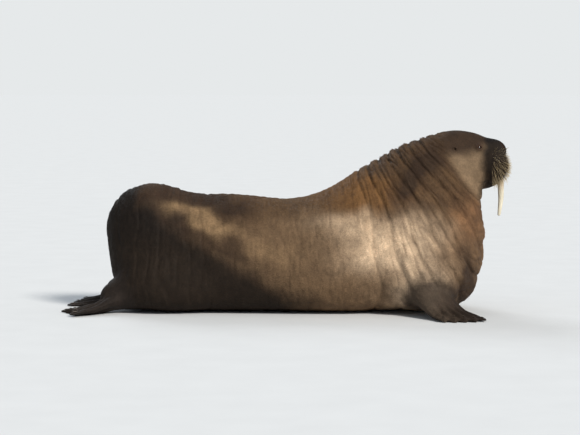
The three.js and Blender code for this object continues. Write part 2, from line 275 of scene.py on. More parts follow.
# Curves
def spline(points, t):
    """Points at shares t of a centripetal Catmull-Rom curve."""
    p = np.array(points, float)
    p = np.vstack([2 * p[0] - p[1], p, 2 * p[-1] - p[-2]])
    at = np.clip(t, 0, 1) * (len(points) - 1)
    i = np.minimum(at.astype(int), len(points) - 2)
    w = (at - i)[:, None]
    a, b, c, d = (p[i + n] for n in range(4))
    ab, bc, cd = (np.sqrt(length(v))[:, None] for v in (b - a, c - b, d - c))
    leave = ((b - a) / ab - (c - a) / (ab + bc) + (c - b) / bc) * bc
    arrive = ((c - b) / bc - (d - b) / (bc + cd) + (d - c) / cd) * bc
    rise = 3 * (c - b) - 2 * leave - arrive
    settle = 2 * (b - c) + leave + arrive
    return b + leave * w + rise * w**2 + settle * w**3


def bezier(a, b, c, t):
    """Points at shares t of quadratic curves: one row a curve, one column a share."""
    t = np.asarray(t)[None, :, None]
    a, b, c = (v[:, None, :] for v in (a, b, c))
    return (1 - t) ** 2 * a + 2 * t * (1 - t) * b + t**2 * c


# Flippers: shares of their length, and then of their thickness
WEB_BACK = 0.05  # how far the web draws back between the digits
CORNER_BACK = 0.05  # and the outer corners
RIDGES = (0.35, 0.7)  # where the digits begin to stand out, and where they do so fully
EDGE_THICK = 0.22
RIDGE_THICKER = 0.25
WEB_THINNER = 0.5
TIP_THINNER = 0.45


def flipper_place(shape):
    """A function giving places on a flipper: share along, -1 to 1 across, and over or under."""
    path, wide, widths, thicks, reaches, _ = shape

    def listed(values, t):
        return np.interp(t, np.linspace(0, 1, len(values)), values)

    def place(share, across, over):
        digit = np.cos(across * DIGITS * np.pi / 2) ** 2
        edge = 1 - WEB_BACK + WEB_BACK * digit - CORNER_BACK * across**8
        t = share * listed(reaches, (across + 1) / 2) * edge
        tangent = unit(spline(path, t + 1e-4) - spline(path, t - 1e-4))
        flat = np.array(wide) - tangent * (tangent @ np.array(wide))[:, None]
        sideways = unit(flat)
        up = np.cross(tangent, sideways)
        up *= np.where(up[:, 2:] < 0, -1, 1)
        rounded = np.maximum(np.sqrt(np.maximum(1 - across**2, 0)), EDGE_THICK)
        ridge = 1 + ramp(t, *RIDGES) * ((RIDGE_THICKER + WEB_THINNER) * digit - WEB_THINNER)
        thinned = 1 - TIP_THINNER * ramp(t, 0.85, 1)
        thick = over * listed(thicks, t) * rounded * ridge * thinned
        wider = across * listed(widths, t)
        return spline(path, t) + sideways * wider[:, None] + up * thick[:, None]

    return place


# Each flipper's middle line, way across, half widths, half thicknesses, reaches of its digits
# from one edge to the other as shares of its length, and claws' radius
FLIPPERS = {
    "fore": (
        [(740, 340, 190), (835, 460, 140), (905, 550, 78)]
        + [(960, 625, 38), (1015, 720, 23), (1065, 830, 15)],
        (1, -0.45, 0),
        (120, 132, 138, 144, 162, 178),
        (120, 98, 66, 40, 27, 17),
        (0.84, 0.92, 0.98, 1),
        5,
    ),
    "hind": (
        [(-1180, 160, 150), (-1300, 190, 115), (-1400, 225, 74)]
        + [(-1500, 265, 40), (-1620, 310, 23), (-1735, 345, 14)],
        (-0.3, 1, 0),
        (95, 100, 108, 124, 160, 200),
        (105, 84, 60, 37, 24, 14),
        (1, 0.95, 0.9, 0.93, 1),
        6,
    ),
}


def sided(v, side):
    return (v[0], side * v[1], v[2])


def flipper_shape(name, side):
    line, across, *rest = FLIPPERS[name]
    return [sided(p, side) for p in line], sided(across, side), *rest


def ring_quads(index):
    """Quads between the rows of a grid of points, each row closed on itself."""
    nxt = np.roll(index, -1, 1)
    return np.stack([index[:-1], index[1:], nxt[1:], nxt[:-1]], -1).reshape(-1, 4)


PLATE_ROWS = 90
PLATE_COLUMNS = 16 * DIGITS + 1


def plate(shape):
    """A flipper's closed plate: points, and quads round its loops and over its two ends."""
    shares = np.linspace(0, 1, PLATE_ROWS)
    half = np.linspace(-1, 1, PLATE_COLUMNS)
    across = np.concatenate([half, half[::-1]])
    over = np.concatenate([np.ones(len(half)), -np.ones(len(half))])
    share, column = np.meshgrid(shares, np.arange(len(across)), indexing="ij")
    place = flipper_place(shape)
    points = place(share.ravel(), across[column.ravel()], over[column.ravel()])
    index = np.arange(points.shape[0]).reshape(share.shape)
    n = len(half)
    caps = [
        np.stack([row[: n - 1], row[1:n], row[::-1][1:n], row[::-1][: n - 1]], -1)
        for row in (index[0], index[-1][::-1])
    ]
    return points, np.vstack([ring_quads(index), *caps])


# The skin's field on a grid whose lines lie closer at the head and the flippers
BLOCK = 6
FAR = 100.0


def grid_lines(stops):
    """Lines between (place, gap) stops, the gap changing evenly from one to the next."""
    places, gaps = np.array(stops, float).T
    fine = np.linspace(places[0], places[-1], 6000)
    density = 1 / np.interp(fine, places, gaps)
    count = np.concatenate([[0], np.cumsum((density[1:] + density[:-1]) / 2 * np.diff(fine))])
    lines = BLOCK * math.ceil(count[-1] / BLOCK)
    return np.interp(np.linspace(0, count[-1], lines), count, fine)


# Stops along, across and up the body, closest at the eyes and the nose
ALONG = [(-1800, 7.5), (-1350, 7.5), (-1300, 10), (300, 10), (420, 8), (1080, 6.5)]
ALONG += [(1150, 2.6), (1265, 2.6), (1300, 3.8), (1360, 2.8), (1425, 2.8), (1440, 4.2), (1500, 4.2)]
ACROSS = [(-860, 7.5), (-320, 7.5), (-260, 5.5), (-200, 4.2), (-175, 2.6), (-120, 2.6), (-95, 3)]
ACROSS += [(20, 3), (40, 4.2), (80, 4.2), (100, 2.6), (150, 2.6), (175, 4.2), (260, 5.5)]
ACROSS += [(320, 7.5), (860, 7.5)]
UP = [(-20, 4.5), (60, 4.5), (140, 10), (700, 10), (820, 5.5), (1120, 4.8), (1140, 2.6)]
UP += [(1190, 2.6), (1210, 4.8), (1310, 4.8)]
LINES = [grid_lines(stops) for stops in (ALONG, ACROSS, UP)]


def sample(field):
    """The field at the grid's crossings near the surface, and just its sign further off."""
    blocks = [line.reshape(-1, BLOCK) for line in LINES]
    middles = np.meshgrid(*(block.mean(1) for block in blocks), indexing="ij")
    coarse = field(np.stack([m.ravel() for m in middles], 1)).reshape(middles[0].shape)
    half = [np.ptp(block, axis=1) for block in blocks]
    diagonal = np.sqrt(sum(h**2 for h in np.meshgrid(*half, indexing="ij")))
    values = np.where(coarse < 0, -FAR, FAR).astype("f")
    for axis in range(3):
        values = np.repeat(values, BLOCK, axis)
    step = np.arange(BLOCK)
    near = np.argwhere(np.abs(coarse) < diagonal + 25)
    for some in np.array_split(near, math.ceil(len(near) / 2000)):
        i, j, k = (some[:, axis, None] * BLOCK + step for axis in range(3))
        at = (i[:, :, None, None], j[:, None, :, None], k[:, None, None, :])
        places = np.broadcast_arrays(*(LINES[axis][at[axis]] for axis in range(3)))
        points = np.stack([p.ravel() for p in places], 1)
        values[at] = field(points).reshape(places[0].shape)
    return values


GRID_STEP = 6.5  # a rough size of one grid step near the flippers
PLATE_BAND = 18  # how many steps off a flipper's plate its distance is known


def plate_distance(points, quads):
    """A plate's rough distance on a box of the grid: where the box starts, and its values."""
    index = [np.interp(points[:, a], LINES[a], np.arange(len(LINES[a]))) for a in range(3)]
    index = np.stack(index, 1).astype("f")
    low = np.maximum(np.floor(index.min(0)).astype(int) - PLATE_BAND, 0)
    high = np.ceil(index.max(0)).astype(int) + PLATE_BAND + 1
    high = np.minimum(high, [len(line) for line in LINES])
    grid = openvdb.FloatGrid.createLevelSetFromPolygons(
        index - low.astype("f"), quads=quads.astype(np.uint32), halfWidth=float(PLATE_BAND)
    )
    values = np.zeros(high - low, "f")
    grid.copyToArray(values)
    return low, values * GRID_STEP


def surface(values):
    grid = openvdb.FloatGrid(FAR)
    grid.copyFromArray(values)
    points, quads = grid.convertToQuads()
    places = [
        np.interp(points[:, axis], np.arange(len(LINES[axis])), LINES[axis]) for axis in range(3)
    ]
    return np.stack(places, 1), quads.astype(int), points


def normals_of(points, quads):
    a, b, c, d = (points[quads[:, n]] for n in range(4))
    faces = np.cross(c - a, d - b)
    total = np.zeros_like(points)
    for axis, corner in np.ndindex(3, 4):
        total[:, axis] += np.bincount(quads[:, corner], faces[:, axis], len(points))
    return unit(total)


# Eyes and their lids
EYE_INNER = (75, 30, 72)  # a place inside the head, and the way out from it to the eye
EYE_LOOK = (0.42, 1, 0.16)
EYE_SUNK = 0.66  # how far the eye's middle lies below the skin, in its radius


def eye_axes(side):
    """The eye's centre and its frame: along its look, level, and up."""
    depth = -EYE_SUNK * EYE_RADIUS
    (at,), (look,) = on_skin(sided(EYE_INNER, side), sided(EYE_LOOK, side), depth)
    level = np.cross((0, 0, 1), look)
    level /= np.linalg.norm(level)
    return at, look, level, np.cross(look, level)


LID_THICK = 7
LID_GAP = 0.6  # between the lids and the eyeball
LID_BLEND = 20
LID_EDGE = 3
OPEN_WIDE = 17  # half the width of the opening between the lids
OPEN_UP = 0.52  # its slopes above and below the eye's look
OPEN_DOWN = 0.42


def lid_opening(out, across, high):
    """Below 0 in the almond between the lids, seen from the eye's middle."""
    lens = 1 - (across / OPEN_WIDE) ** 2
    return np.maximum(np.maximum(high - OPEN_UP * lens * out, -OPEN_DOWN * lens * out - high), -out)


def add_lids(d, points, side):
    """Swells the flesh round the eye, and opens it over the eyeball between two lids."""
    at, look, level, up = eye_axes(side)
    near = length(points - at) < 90
    p = points[near] - at
    away = length(p)
    opening = lid_opening(p @ look, p @ level, p @ up)
    whole = smooth_min(d[near], away - (EYE_RADIUS + LID_THICK), LID_BLEND)
    whole = np.maximum(whole, EYE_RADIUS + LID_GAP - away)
    d[near] = smooth_max(whole, -opening, LID_EDGE)


# Nostrils, mouth and ears
def tube_distance(points, curve, radii):
    """Distance from a tube through points of a curve, with a radius at each."""
    best = np.full(len(points), 1e9)
    for a, b, ra, rb in zip(curve, curve[1:], radii, radii[1:]):
        ab = b - a
        t = np.clip((points - a) @ ab / (ab @ ab), 0, 1)
        away = length(points - a - t[:, None] * ab) - mix(ra, rb, t)
        best = np.minimum(best, away)
    return best


def carve(d, points, curve, radii, soft):
    """Takes a tube out of the flesh."""
    low, high = curve.min(0) - 40, curve.max(0) + 40
    near = ((points > low) & (points < high)).all(1)
    d[near] = smooth_max(d[near], -tube_distance(points[near], curve, radii), soft)


NOSTRIL = [(200, 15, 62), (200, 42, 94), (200, 27, 132)]  # inside the nose, behind the slot
MOUTH_INNER = (90, 0, -70)
MOUTH_LINE = [(0.75, 0.8, -0.64), (0.35, 1, -0.66), (0.02, 1, -0.5)]
EAR_INNER = (-20, 0, 60)
EAR_LOOK = (-0.12, 1, 0.1)
EAR_RIM = (12, 5)  # its radius round the pit, and half its thickness
EAR_PIT = (5.5, 16)  # its radius and its depth


def nostril(side):
    """The middle of a crescent slot in the nose's front, and its half widths."""
    points = [on_skin(sided(p, side), (1, 0, 0), -COAT_DEPTH - 3)[0][0] for p in NOSTRIL]
    t = np.linspace(0, 1, 10)
    return spline(points, t), mix(3, 9, np.sin(np.pi * t))


def mouth_corner(side):
    """The middle of the groove back from under the pad into the cheek, and its half widths."""
    points = [on_skin(MOUTH_INNER, sided(v, side))[0][0] for v in MOUTH_LINE]
    t = np.linspace(0, 1, 8)
    return spline(points, t), mix(10, 3, t)


FEATURES = {
    side: {
        "nostril": nostril(side),
        "mouth": mouth_corner(side),
        "ear": on_skin(EAR_INNER, sided(EAR_LOOK, side)),
    }
    for side in SIDES.values()
}


def add_ear(d, points, side):
    """Adds a low rim round a small pit."""
    (at,), (along,) = FEATURES[side]["ear"]
    near = length(points - at) < 60
    p = points[near] - at
    out = p @ along
    flat = length(p - out[:, None] * along)
    rim = np.hypot(flat - EAR_RIM[0], out) - EAR_RIM[1]
    pit = np.maximum(flat - EAR_PIT[0], np.abs(out) - EAR_PIT[1])
    d[near] = smooth_max(smooth_min(d[near], rim, 8), -pit, 4)


TAIL_REACH = 220
HEAD_REACH = 520


def skin_field(points):
    """Distance from the skin, without its flippers."""
    d = flesh(points) + COAT_DEPTH
    tail = length(points - TAIL[0]) < TAIL_REACH
    d[tail] = smooth_min(d[tail], mass_distance(TAIL, points[tail]) + 1, TAIL[3])
    head = length(points - HEAD_AT) < HEAD_REACH
    p = points[head]
    own = smooth_min(d[head], mass_distance(LOWER_JAW, to_head(p)) + COAT_DEPTH, 3)
    for side, made in FEATURES.items():
        add_lids(own, p, side)
        add_ear(own, p, side)
        carve(own, p, *made["nostril"], 3)
        carve(own, p, *made["mouth"], 5)
    d[head] = own
    return d


FLIPPER_BLEND = 28
SKIN_LOWEST = 0.5


def skin_mesh():
    """The skin's points, quads and how far each point is from the flippers."""
    values = sample(skin_field)
    flippers = np.full(values.shape, FAR, "f")
    for name in FLIPPERS:
        for side in SIDES.values():
            low, own = plate_distance(*plate(flipper_shape(name, side)))
            box = tuple(slice(l, l + n) for l, n in zip(low, own.shape))
            flippers[box] = np.minimum(flippers[box], own)
    values = smooth_min(values, flippers + COAT_DEPTH / 2, FLIPPER_BLEND)
    values = np.maximum(values, SKIN_LOWEST - LINES[2][None, None, :]).astype("f")
    points, quads, index = surface(values)
    at = tuple(np.round(index).astype(int).T)
    return points, quads, flippers[at]


# Zones, relief and markings, by place on the skin
BEND_RADIUS = 1200


def along_body(points):
    """How far along the body a point is, round the bend of the neck too."""
    x, _, z = points.T
    round_bend = BEND_RADIUS * np.arctan2(x - FOLD_PIVOT[0], FOLD_PIVOT[1] - z)
    return np.where(x > FOLD_PIVOT[0], round_bend, x - FOLD_PIVOT[0])


def spot(points, at, size, tilt):
    """1 round a place in side view, fading out over a size along and across its tilt."""
    x, z = points[:, 0] - at[0], points[:, 2] - at[1]
    turn = math.radians(tilt)
    along = x * math.cos(turn) + z * math.sin(turn)
    across = z * math.cos(turn) - x * math.sin(turn)
    return np.clip(1.6 * np.exp(-((along / size[0]) ** 2) - (across / size[1]) ** 2), 0, 1)


HEAD_MIDDLE = (90, 0, 0)
HEAD_EDGE = (260, 340)  # each zone fades over the distances of its edge
MUZZLE_EDGE = (120, 190)
FLIPPER_EDGE = (0, 76)
NECK_EDGE = (150, 420)
RUMP_EDGE = (500, 1150)


def zones(points, flipper):
    """How far each point belongs to each zone, from 0 to 1, with uneven edges."""
    own = to_head(points)
    head = 1 - ramp(length(own - HEAD_MIDDLE), *HEAD_EDGE)
    forward = own[:, 0] + 60 * (cloudy(points / 80, 3, 53) - 0.5)
    ragged = np.maximum(flipper - 8, 0) * (0.4 + 1.2 * cloudy(points / 60, 3, 51))
    return {
        "head": head,
        "muzzle": ramp(forward, *MUZZLE_EDGE) * head,
        "flipper": 1 - ramp(ragged, *FLIPPER_EDGE),
        "neck": ramp(along_body(points), *NECK_EDGE) * (1 - head),
        "rump": ramp(-points[:, 0], *RUMP_EDGE),
    }


FOLD_CELL = (75, 330, 330)  # folds, wrinkles and knobs: their spacing, and their depth
FOLD_PRESS = 9
WRINKLE_CELL = (34, 120, 120)
WRINKLE_PRESS = 4
KNOB_CELL = 62
KNOB_RISE = 5


def relief(points, zone):
    """How deep folds press in and how high knobs stand, and where the lines of folds run."""
    s = along_body(points)
    round_body = np.stack([s, points[:, 1], points[:, 2]], 1)
    p = round_body + astray(round_body, far=60, cell=260, octaves=2, salts=(3, 5, 8))
    calm = (1 - 0.85 * zone["head"]) * (1 - 0.7 * zone["flipper"])
    folds = creased(p / FOLD_CELL, 11) * (0.35 + 0.65 * zone["neck"] + 0.3 * zone["rump"])
    wrinkles = creased(p / WRINKLE_CELL, 23) * (0.6 + 0.4 * zone["neck"])
    knobs = knobbed(points / KNOB_CELL, 41) * zone["neck"] * ramp(points[:, 2], 250, 500)
    depth = calm * (FOLD_PRESS * folds + WRINKLE_PRESS * wrinkles)
    line = np.clip(calm * (0.8 * folds + 0.6 * wrinkles), 0, 1)
    return depth, KNOB_RISE * knobs * (1 - line), line


def linear(r, g, b):
    """A colour given as a screen shows it, as light."""
    c = np.array((r, g, b)) / 255
    return np.where(c < 0.04045, c / 12.92, ((c + 0.055) / 1.055) ** 2.4)


FLANK = linear(108, 86, 64)
BACK = linear(88, 67, 47)
BELLY = linear(124, 99, 74)
# The pale chest, lightened further by painted light
PALE_CHEST_AND_LIGHT = linear(215, 187, 156)
THROAT = linear(136, 100, 70)
NAPE = linear(120, 86, 52)
SHADE = linear(54, 41, 31)
# Painted light: a lit band along the upper flank
FLANK_PAINTED_LIGHT = linear(146, 119, 88)
RUMP = linear(62, 48, 38)
# The hind part's dark hide, with painted shade over it
HIND_DARK_AND_SHADE = linear(20, 17, 16)
CROWN = linear(60, 46, 36)
CHEEK = linear(134, 112, 88)
MUZZLE = linear(27, 22, 20)
LID = linear(62, 44, 36)
FLIPPER = linear(44, 37, 33)
# Darker skin in the creases, with painted shade
CREASE_DARK_AND_SHADE = linear(46, 32, 25)

# Patches seen from the side: colour, strength, middle, half size and tilt in degrees
PATCHES = [
    (FLANK, 0.9, (-50, 480), (620, 230), 0),
    (RUMP, 0.9, (-960, 780), (330, 220), 0),
    (SHADE, 0.9, (-640, 800), (190, 80), 0),
    # The pale chest with painted light on it; the low patch is painted light where the chest turns
    # down into shade
    (PALE_CHEST_AND_LIGHT, 0.95, (610, 500), (300, 130), 8),
    (PALE_CHEST_AND_LIGHT, 0.8, (720, 200), (170, 260), 0),
    (PALE_CHEST_AND_LIGHT, 0.6, (370, 640), (270, 100), 0),
    (THROAT, 0.8, (1150, 640), (130, 190), 0),
    # Painted shade on the low front of the chest
    (SHADE, 0.9, (1100, 220), (110, 210), 0),
    (NAPE, 0.9, (360, 860), (260, 120), 0),
    # Painted shade in the crease behind the head
    (SHADE, 0.9, (750, 1010), (240, 75), 50),
    # Painted shade on the flank between the lit band and the hind part
    (SHADE, 0.7, (-570, 500), (210, 65), -28),
    # Painted light along the upper flank, in two lobes
    (FLANK_PAINTED_LIGHT, 0.9, (-790, 662), (230, 46), -15),
    (FLANK_PAINTED_LIGHT, 0.35, (-260, 455), (180, 60), -22),
]
BACK_EDGE = (350, 800)
# Where the hind part's painted shade lies: the slope of its upper edge, where and how softly that
# edge fades, and the rear end it covers
HIND_SHADE_SLOPE = 0.62  # how steeply the dark hind part's upper edge falls towards the head
HIND_SHADE_EDGE = (-90, 210)
HIND_SHADE_END = (1120, 1300)
CROWN_EDGE = (HEAD_AT[2] + 30, HEAD_AT[2] + 130)
LID_TINT = (EYE_RADIUS + 2, EYE_RADIUS + 16)


def near_eyes(points):
    """How far each point is from the nearer eye's middle."""
    return np.min([length(points - eye_axes(side)[0]) for side in SIDES.values()], 0)


def in_nostrils(points):
    """1 inside the slots of the nose, and 0 outside."""
    away = [tube_distance(points, *made["nostril"]) for made in FEATURES.values()]
    return 1 - ramp(np.min(away, 0), -0.5, 3)


def markings(points, zone, line):
    """The colour at each point, of skin and coat alike, with painted light and shade in it."""
    stray = points + astray(points, far=220, cell=260, octaves=3, salts=(61, 67, 71))
    x, _, z = stray.T
    colour = mix(BELLY, BACK, ramp(z, *BACK_EDGE)[:, None])
    for patch, strength, *place in PATCHES:
        colour = mix(colour, patch, (strength * spot(stray, *place))[:, None])
    # Painted shade on the hind part and the low flank below a slanting line, and on the rear end,
    # over their darker hide
    below = 1 - ramp(HIND_SHADE_SLOPE * x + z, *HIND_SHADE_EDGE)
    colour = mix(colour, HIND_DARK_AND_SHADE, (0.92 * np.maximum(below, ramp(-x, *HIND_SHADE_END)))[:, None])
    face = mix(CHEEK, CROWN, ramp(z, *CROWN_EDGE)[:, None])
    colour = mix(colour, face, (0.9 * zone["head"])[:, None])
    colour = mix(colour, MUZZLE, (0.93 * zone["muzzle"])[:, None])
    colour = mix(colour, FLIPPER, (0.9 * zone["flipper"])[:, None])
    lids = 1 - ramp(near_eyes(points), *LID_TINT)
    colour = mix(colour, LID, (0.8 * lids)[:, None])
    # Painted shade inside the nostril slots, in the lids' colour
    colour = mix(colour, LID, (0.9 * in_nostrils(points))[:, None])
    fine, broad = cloudy(points / 45, 4, 81), cloudy(points / 400, 2, 83)
    mottle = (0.72 + 0.56 * fine) * (0.85 + 0.3 * broad)
    colour = colour * mottle[:, None]
    # Darkens the fold lines: painted shade in the creases, over skin that is darker there too
    return mix(colour, np.minimum(colour, 0.35 * colour + 0.8 * CREASE_DARK_AND_SHADE), (0.75 * line)[:, None])


# Meshes
def placed(name, data):
    """A new object of some data, put in the scene."""
    made = bpy.data.objects.new(name, data)
    bpy.context.scene.collection.objects.link(made)
    return made


def mesh_object(name, points, faces, colours=None, places=None, smooth=True):
    """A mesh of equal-sided faces, its points in millimetres, with its map's places if any."""
    mesh = bpy.data.meshes.new(name)
    sides = faces.shape[1]
    mesh.vertices.add(len(points))
    mesh.vertices.foreach_set("co", (points * MM).astype("f").ravel())
    mesh.loops.add(faces.size)
    mesh.loops.foreach_set("vertex_index", faces.astype(np.int32).ravel())
    mesh.polygons.add(len(faces))
    mesh.polygons.foreach_set("loop_start", np.arange(0, faces.size, sides, dtype=np.int32))
    mesh.polygons.foreach_set("use_smooth", np.full(len(faces), smooth))
    if colours is not None:
        layer = mesh.color_attributes.new("Markings", "FLOAT_COLOR", "POINT")
        rgba = np.concatenate([colours, np.ones((len(colours), 1))], 1)
        layer.data.foreach_set("color", rgba.astype("f").ravel())
    if places is not None:
        layer = mesh.uv_layers.new(name="OFBake")
        layer.data.foreach_set("uv", places[faces.ravel()].astype("f").ravel())
    mesh.update()
    return placed(name, mesh)


def dress(made, material):
    made.data.materials.append(material)
    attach(made, "root")


# Materials
DULL = 0.12  # the gloss of dry hide and hair, next to 0.5 for a usual surface
MIX_A, MIX_B, MIX_RESULT = 6, 7, 2  # the Mix node's sockets for colours


def material(name, roughness, gloss=0.5):
    made = bpy.data.materials.new(name)
    made.use_nodes = True
    shader = made.node_tree.nodes["Principled BSDF"]
    shader.inputs["Roughness"].default_value = roughness
    shader.inputs["Specular IOR Level"].default_value = gloss
    return made, made.node_tree, shader


def add(tree, kind, inputs=(), **settings):
    """A node with its settings, and its inputs set to values or linked to sockets."""
    made = tree.nodes.new(kind)
    for key, value in settings.items():
        setattr(made, key, value)
    for key, value in dict(inputs).items():
        if isinstance(value, bpy.types.NodeSocket):
            tree.links.new(value, made.inputs[key])
        else:
            made.inputs[key].default_value = value
    return made


def noise_node(tree, scale, detail=3, stretch=(1, 1, 1)):
    """Noise over the object's own coordinates, which are scaled by axis first."""
    place = add(tree, "ShaderNodeTexCoord").outputs["Object"]
    place = add(tree, "ShaderNodeMapping", {"Vector": place, "Scale": stretch}).outputs["Vector"]
    inputs = {"Vector": place, "Scale": scale, "Detail": detail}
    return add(tree, "ShaderNodeTexNoise", inputs).outputs["Fac"]


def map_node(tree, value, low, high, to_low, to_high):
    inputs = {"Value": value, "From Min": low, "From Max": high, "To Min": to_low, "To Max": to_high}
    return add(tree, "ShaderNodeMapRange", inputs).outputs["Result"]


def spread(tree, noise, to_low, to_high):
    """A noise, which mostly stays between 0.3 and 0.7, spread from one value to another."""
    return map_node(tree, noise, 0.3, 0.7, to_low, to_high)


def tinted(tree, colour, *factors):
    """A colour times each factor."""
    for factor in factors:
        inputs = {"Factor": 1.0, MIX_A: colour, MIX_B: factor}
        node = add(tree, "ShaderNodeMix", inputs, data_type="RGBA", blend_type="MULTIPLY")
        colour = node.outputs[MIX_RESULT]
    return colour


def marked(tree, shader, *factors):
    """Colours a shader by the mesh's own markings times each factor."""
    colour = add(tree, "ShaderNodeAttribute", attribute_name="Markings").outputs["Color"]
    tree.links.new(tinted(tree, colour, *factors), shader.inputs["Base Color"])


def bumped(tree, shader, layers):
    """A chain of bumps, each (height, strength, distance in metres)."""
    normal = None
    for height, strength, distance in layers:
        inputs = {"Height": height, "Strength": strength, "Distance": distance}
        if normal is not None:
            inputs["Normal"] = normal
        normal = add(tree, "ShaderNodeBump", inputs).outputs["Normal"]
    tree.links.new(normal, shader.inputs["Normal"])


def vector_math(tree, operation, inputs):
    return add(tree, "ShaderNodeVectorMath", inputs, operation=operation).outputs[0]


def warped_place(tree, scale, amount):
    """The object's own coordinates, pushed about by noise."""
    place = add(tree, "ShaderNodeTexCoord").outputs["Object"]
    push = add(tree, "ShaderNodeTexNoise", {"Vector": place, "Scale": scale, "Detail": 2.0})
    centred = vector_math(tree, "SUBTRACT", {0: push.outputs["Color"], 1: (0.5, 0.5, 0.5)})
    scaled = vector_math(tree, "SCALE", {0: centred, "Scale": amount})
    return vector_math(tree, "ADD", {0: place, 1: scaled})


def net_node(tree, place, scale):
    inputs = {"Vector": place, "Scale": scale}
    return add(tree, "ShaderNodeTexVoronoi", inputs, feature="DISTANCE_TO_EDGE").outputs["Distance"]


def skin_material():
    made, tree, shader = material("hide", roughness=0.7, gloss=DULL)
    place = warped_place(tree, scale=30, amount=0.03)
    net = map_node(tree, net_node(tree, place, scale=70), 0, 0.25, 0, 1)
    small_net = map_node(tree, net_node(tree, place, scale=190), 0, 0.3, 0, 1)
    fine = noise_node(tree, scale=60, detail=6)
    hair = noise_node(tree, scale=260, stretch=(0.3, 1.6, 1.6))
    # Darker along the net's lines: painted shade in the skin's cracks
    shade = map_node(tree, net, 0, 1, 0.88, 1.02)
    marked(tree, shader, shade, spread(tree, fine, 0.82, 1.14), spread(tree, hair, 0.85, 1.12))
    tree.links.new(spread(tree, fine, 0.6, 0.8), shader.inputs["Roughness"])
    layers = [(net, 0.35, 0.002), (small_net, 0.3, 0.001), (fine, 0.6, 0.004), (hair, 0.5, 0.0015)]
    bumped(tree, shader, layers)
    return made


def fur_material():
    made, tree, shader = material("coat", roughness=0.62, gloss=DULL)
    marked(tree, shader, spread(tree, noise_node(tree, scale=500, detail=2), 0.85, 1.15))
    return made


def ivory_material():
    made, tree, shader = material("ivory", roughness=0.38)
    streaks = noise_node(tree, scale=60, detail=4, stretch=(3, 3, 0.25))
    patches = map_node(tree, noise_node(tree, scale=18), 0.35, 0.65, 0.88, 1.02)
    marked(tree, shader, spread(tree, streaks, 0.8, 1.04), patches)
    tree.links.new(spread(tree, streaks, 0.5, 0.3), shader.inputs["Roughness"])
    bumped(tree, shader, [(streaks, 0.4, 0.0015)])
    return made


def whisker_material():
    made, tree, shader = material("whisker", roughness=0.42)
    marked(tree, shader, spread(tree, noise_node(tree, scale=90, detail=2), 0.75, 1.1))
    return made


def eye_material():
    made, tree, shader = material("eye", roughness=0.08)
    marked(tree, shader, spread(tree, noise_node(tree, scale=300, detail=4), 0.7, 1.15))
    shader.inputs["Coat Weight"].default_value = 0.6
    shader.inputs["Coat Roughness"].default_value = 0.03
    return made


def claw_material():
    made, tree, shader = material("claw", roughness=0.42)
    horn = add(tree, "ShaderNodeValToRGB", {"Fac": noise_node(tree, scale=200)})
    horn.color_ramp.elements[0].color = (*linear(38, 32, 28), 1)
    horn.color_ramp.elements[1].color = (*linear(92, 78, 64), 1)
    tree.links.new(horn.outputs["Color"], shader.inputs["Base Color"])
    return made


# Rods: tusks, whiskers and claws
ROD_UP = (0.05, 0.1, 1.0)  # nearly upright, and along no rod


def rods(middles, radii, sides, flat=1.0):
    """Closed tapered rods, one a row: middles (rods, rings, 3), radii (rods, rings)."""
    count, rings = radii.shape
    tangent = np.gradient(middles, axis=1)
    tangent /= np.linalg.norm(tangent, axis=2, keepdims=True)
    across = np.cross(tangent, ROD_UP)
    across /= np.linalg.norm(across, axis=2, keepdims=True)
    over = np.cross(tangent, across)
    turn = np.arange(sides) * 2 * np.pi / sides
    ring = (
        across[:, :, None] * np.cos(turn)[None, None, :, None]
        + over[:, :, None] * np.sin(turn)[None, None, :, None] * flat
    )
    points = middles[:, :, None] + ring * radii[:, :, None, None]
    base = np.arange(count * rings * sides).reshape(count, rings, sides)
    nxt = np.roll(base, -1, 2)
    a, b, c, d = base[:, :-1], nxt[:, :-1], nxt[:, 1:], base[:, 1:]
    triangles = [np.stack(corners, -1).reshape(-1, 3) for corners in ((a, b, c), (a, c, d))]
    for i in range(1, sides - 1):
        triangles.append(np.stack([base[:, 0, 0], base[:, 0, i + 1], base[:, 0, i]], -1))
        triangles.append(np.stack([base[:, -1, 0], base[:, -1, i], base[:, -1, i + 1]], -1))
    return points.reshape(-1, 3), np.concatenate(triangles)


TUSK_END = -LIP_DROP - TUSK_LENGTH
TUSK_MIDDLE = -LIP_DROP - TUSK_LENGTH * 0.5
TUSK_LINE = [(256, 60, -90), (272, 65, -LIP_DROP), (276, 71, TUSK_MIDDLE), (264, 80, TUSK_END)]


def tusk_curve(side, t):
    return spline(from_head([sided(p, side) for p in TUSK_LINE]), t)


IVORY = linear(236, 226, 202)
STAIN = linear(158, 122, 82)
TUSK_TIP = 0.03  # the share of its length in which its blunt tip closes
TUSK_SIDES = 48
TUSK_TAPER = 0.55
GROOVE_DEPTH = 0.7


